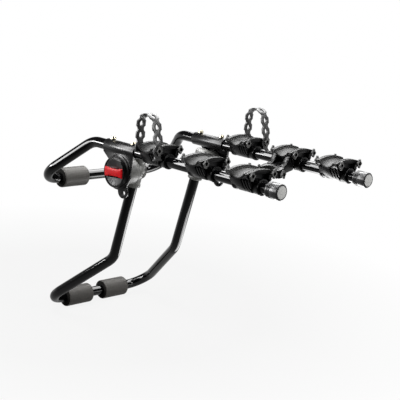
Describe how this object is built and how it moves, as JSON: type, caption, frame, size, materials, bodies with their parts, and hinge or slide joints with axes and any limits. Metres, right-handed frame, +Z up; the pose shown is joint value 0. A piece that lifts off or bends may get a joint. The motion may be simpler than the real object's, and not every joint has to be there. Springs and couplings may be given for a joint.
{
  "type": "trunk mounted bike rack",
  "caption": "Folding bike rack for a car trunk: bent tube frames with foam pads on clamp hubs, and arms that carry swivelling strap cradles.",
  "frame": {"origin": "middle of the upper cross bar, on the axis of its foam pads", "axes": "+X across the car, +Y towards the car, with the arms along -Y, +Z up"},
  "size_m": [0.456, 0.85, 0.6329],
  "materials": {
    "tube": "gloss black powder coat",
    "foam": "closed cell foam, matte dark warm grey",
    "cap": "moulded dark grey",
    "cap_disc": "moulded pale grey",
    "bracket": "satin black moulding",
    "screw": "yellow zinc plated",
    "lining": "friction lining",
    "spring": "spring steel",
    "socket": "moulded mid grey",
    "bolt": "black zinc plated",
    "dial": "satin black moulding",
    "grip": "red moulding",
    "nut": "plain brass",
    "cradle": "moulded black, light texture",
    "cradle_rubber": "moulded light grey rubber",
    "peg": "moulded grey",
    "strap": "moulded dark grey rubber"
  },
  "bodies": {
    "upper_frame": {"upper_tube": "tube", "left_upper_pad": "foam", "left_end_cap": "cap", "left_cap_disc": "cap_disc", "left_hub_bracket": "bracket", "left_hub_screws": "screw", "left_friction_disc": "lining", "left_spring_washer": "spring", "right_upper_pad": "foam", "right_end_cap": "cap", "right_cap_disc": "cap_disc", "right_hub_bracket": "bracket", "right_hub_screws": "screw", "right_friction_disc": "lining", "right_spring_washer": "spring"},
    "lower_frame": {"lower_tube": "tube", "left_lower_pad": "foam", "left_leg_socket": "socket", "left_hub_bolt": "bolt", "right_lower_pad": "foam", "right_leg_socket": "socket", "right_hub_bolt": "bolt"},
    "left_dial_body": {"left_dial": "dial", "left_dial_grip": "grip", "left_dial_nut": "nut"},
    "right_dial_body": {"right_dial": "dial", "right_dial_grip": "grip", "right_dial_nut": "nut"},
    "left_cradle_1": {"left_cradle_1_body": "cradle", "left_cradle_1_pad": "cradle_rubber", "left_cradle_1_pegs": "peg", "left_strap": "strap"},
    "left_cradle_2": {"left_cradle_2_body": "cradle", "left_cradle_2_pad": "cradle_rubber", "left_cradle_2_pegs": "peg"},
    "left_cradle_3": {"left_cradle_3_body": "cradle", "left_cradle_3_pad": "cradle_rubber", "left_cradle_3_pegs": "peg"},
    "right_cradle_1": {"right_cradle_1_body": "cradle", "right_cradle_1_pad": "cradle_rubber", "right_cradle_1_pegs": "peg", "right_strap": "strap"},
    "right_cradle_2": {"right_cradle_2_body": "cradle", "right_cradle_2_pad": "cradle_rubber", "right_cradle_2_pegs": "peg", "right_cradle_2_sway_pad": "cradle_rubber"},
    "right_cradle_3": {"right_cradle_3_body": "cradle", "right_cradle_3_pad": "cradle_rubber", "right_cradle_3_pegs": "peg"}
  },
  "joints": [
    {"name": "leg_fold", "type": "hinge", "parent": "upper_frame", "child": "lower_frame", "pos_m": [0, -0.28, 0.074], "axis": [1, 0, 0], "range_deg": [-100, 20]},
    {"name": "left_dial_turn", "type": "hinge", "parent": "upper_frame", "child": "left_dial_body", "pos_m": [-0.185, -0.28, 0.074], "axis": [-1, 0, 0], "range_deg": [0, 90]},
    {"name": "right_dial_turn", "type": "hinge", "parent": "upper_frame", "child": "right_dial_body", "pos_m": [0.185, -0.28, 0.074], "axis": [1, 0, 0], "range_deg": [0, 90]},
    {"name": "left_cradle_1_swivel", "type": "hinge", "parent": "upper_frame", "child": "left_cradle_1", "pos_m": [-0.16, -0.411, 0.132], "axis": [0, 1, 0], "range_deg": [-20, 20]},
    {"name": "left_cradle_2_swivel", "type": "hinge", "parent": "upper_frame", "child": "left_cradle_2", "pos_m": [-0.16, -0.575, 0.132], "axis": [0, 1, 0], "range_deg": [-20, 20]},
    {"name": "left_cradle_3_swivel", "type": "hinge", "parent": "upper_frame", "child": "left_cradle_3", "pos_m": [-0.16, -0.723, 0.132], "axis": [0, 1, 0], "range_deg": [-20, 20]},
    {"name": "right_cradle_1_swivel", "type": "hinge", "parent": "upper_frame", "child": "right_cradle_1", "pos_m": [0.16, -0.411, 0.132], "axis": [0, 1, 0], "range_deg": [-20, 20]},
    {"name": "right_cradle_2_swivel", "type": "hinge", "parent": "upper_frame", "child": "right_cradle_2", "pos_m": [0.16, -0.575, 0.132], "axis": [0, 1, 0], "range_deg": [-20, 20]},
    {"name": "right_cradle_3_swivel", "type": "hinge", "parent": "upper_frame", "child": "right_cradle_3", "pos_m": [0.16, -0.723, 0.132], "axis": [0, 1, 0], "range_deg": [-20, 20]}
  ]
}
